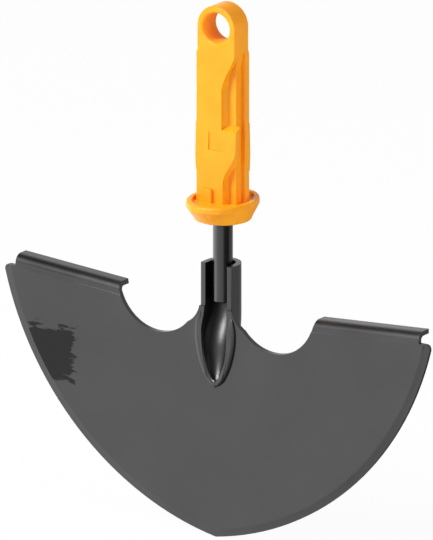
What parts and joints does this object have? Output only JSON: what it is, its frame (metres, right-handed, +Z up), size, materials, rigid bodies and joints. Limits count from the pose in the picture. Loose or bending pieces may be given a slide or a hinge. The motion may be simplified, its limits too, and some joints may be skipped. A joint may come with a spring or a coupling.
{
  "type": "half moon edger",
  "caption": "Quick-change half moon lawn edger head: a pressed steel half round blade with rolled foot treads on a steel rod, moulded into a plug-in connector with a hanging hole.",
  "frame": {"origin": "centre of the hanging hole in the plug's round end, midway between its two mouths", "axes": "+Z up along the rod, from the blade to the plug's round end; -Y out of the blade's front, the side the raised panel and the frog face; +X to the viewer's right, seen from the front"},
  "size_m": [0.2284, 0.0372, 0.2457],
  "materials": {
    "coated_steel": "satin dark grey coating",
    "rod_steel": "satin dark grey coating",
    "weld": "dull dark grey coating",
    "orange_plastic": "satin orange moulding"
  },
  "bodies": {
    "root": {"blade": "coated_steel", "tang_rod": "rod_steel", "weld_seam_left": "weld", "weld_seam_right": "weld", "plug": "orange_plastic"}
  },
  "joints": []
}
